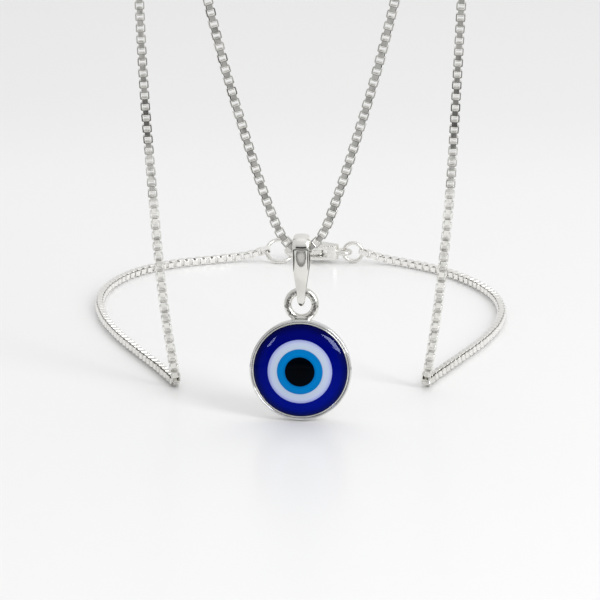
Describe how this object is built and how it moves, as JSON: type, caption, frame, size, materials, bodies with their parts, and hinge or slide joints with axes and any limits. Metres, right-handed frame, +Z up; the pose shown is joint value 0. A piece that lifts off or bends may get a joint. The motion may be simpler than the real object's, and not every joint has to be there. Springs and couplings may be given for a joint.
{
  "type": "evil eye pendant",
  "caption": "Round glass evil eye in a silver bezel, hung by its loop from a domed bail on a fine box chain that drapes over a bar down to a surface and closes with a lobster clasp.",
  "frame": {"origin": "on the axis of the bar that the chain hangs over, midway between the two places where the chain passes over it", "axes": "+Z up, +Y from the pendant's glass to its back and on towards the clasp, +X to the right as seen from the front"},
  "size_m": [0.0479, 0.0697, 0.0838],
  "materials": {
    "silver": "polished",
    "blue_glass": "glossy",
    "white_glass": "glossy",
    "light_blue_glass": "glossy",
    "black_glass": "glossy"
  },
  "bodies": {
    "necklace": {"chain_left": "silver", "chain_right": "silver", "end_ring": "silver", "clasp_body": "silver", "clasp_rivet": "silver", "jump_ring": "silver"},
    "bail": {"bail": "silver"},
    "pendant": {"bezel": "silver", "blue_glass": "blue_glass", "white_ring": "white_glass", "light_blue_ring": "light_blue_glass", "pupil": "black_glass"},
    "lever": {"clasp_lever": "silver"}
  },
  "joints": [
    {"name": "bail_swing", "type": "hinge", "parent": "necklace", "child": "bail", "pos_m": [0, -0.00105, -0.06348], "axis": [1, 0, 0], "range_deg": [-60, 60]},
    {"name": "pendant_swing", "type": "hinge", "parent": "bail", "child": "pendant", "pos_m": [0, -0.00105, -0.06798], "axis": [1, 0, 0], "range_deg": [-41, 49]},
    {"name": "clasp_lever_hinge", "type": "hinge", "parent": "necklace", "child": "lever", "pos_m": [-0.0034, 0.0641, -0.0796], "axis": [0, 0, 1], "range_deg": [-20, 0], "stiffness_Nm_per_rad": 0.001, "springref_deg": 17.19}
  ]
}
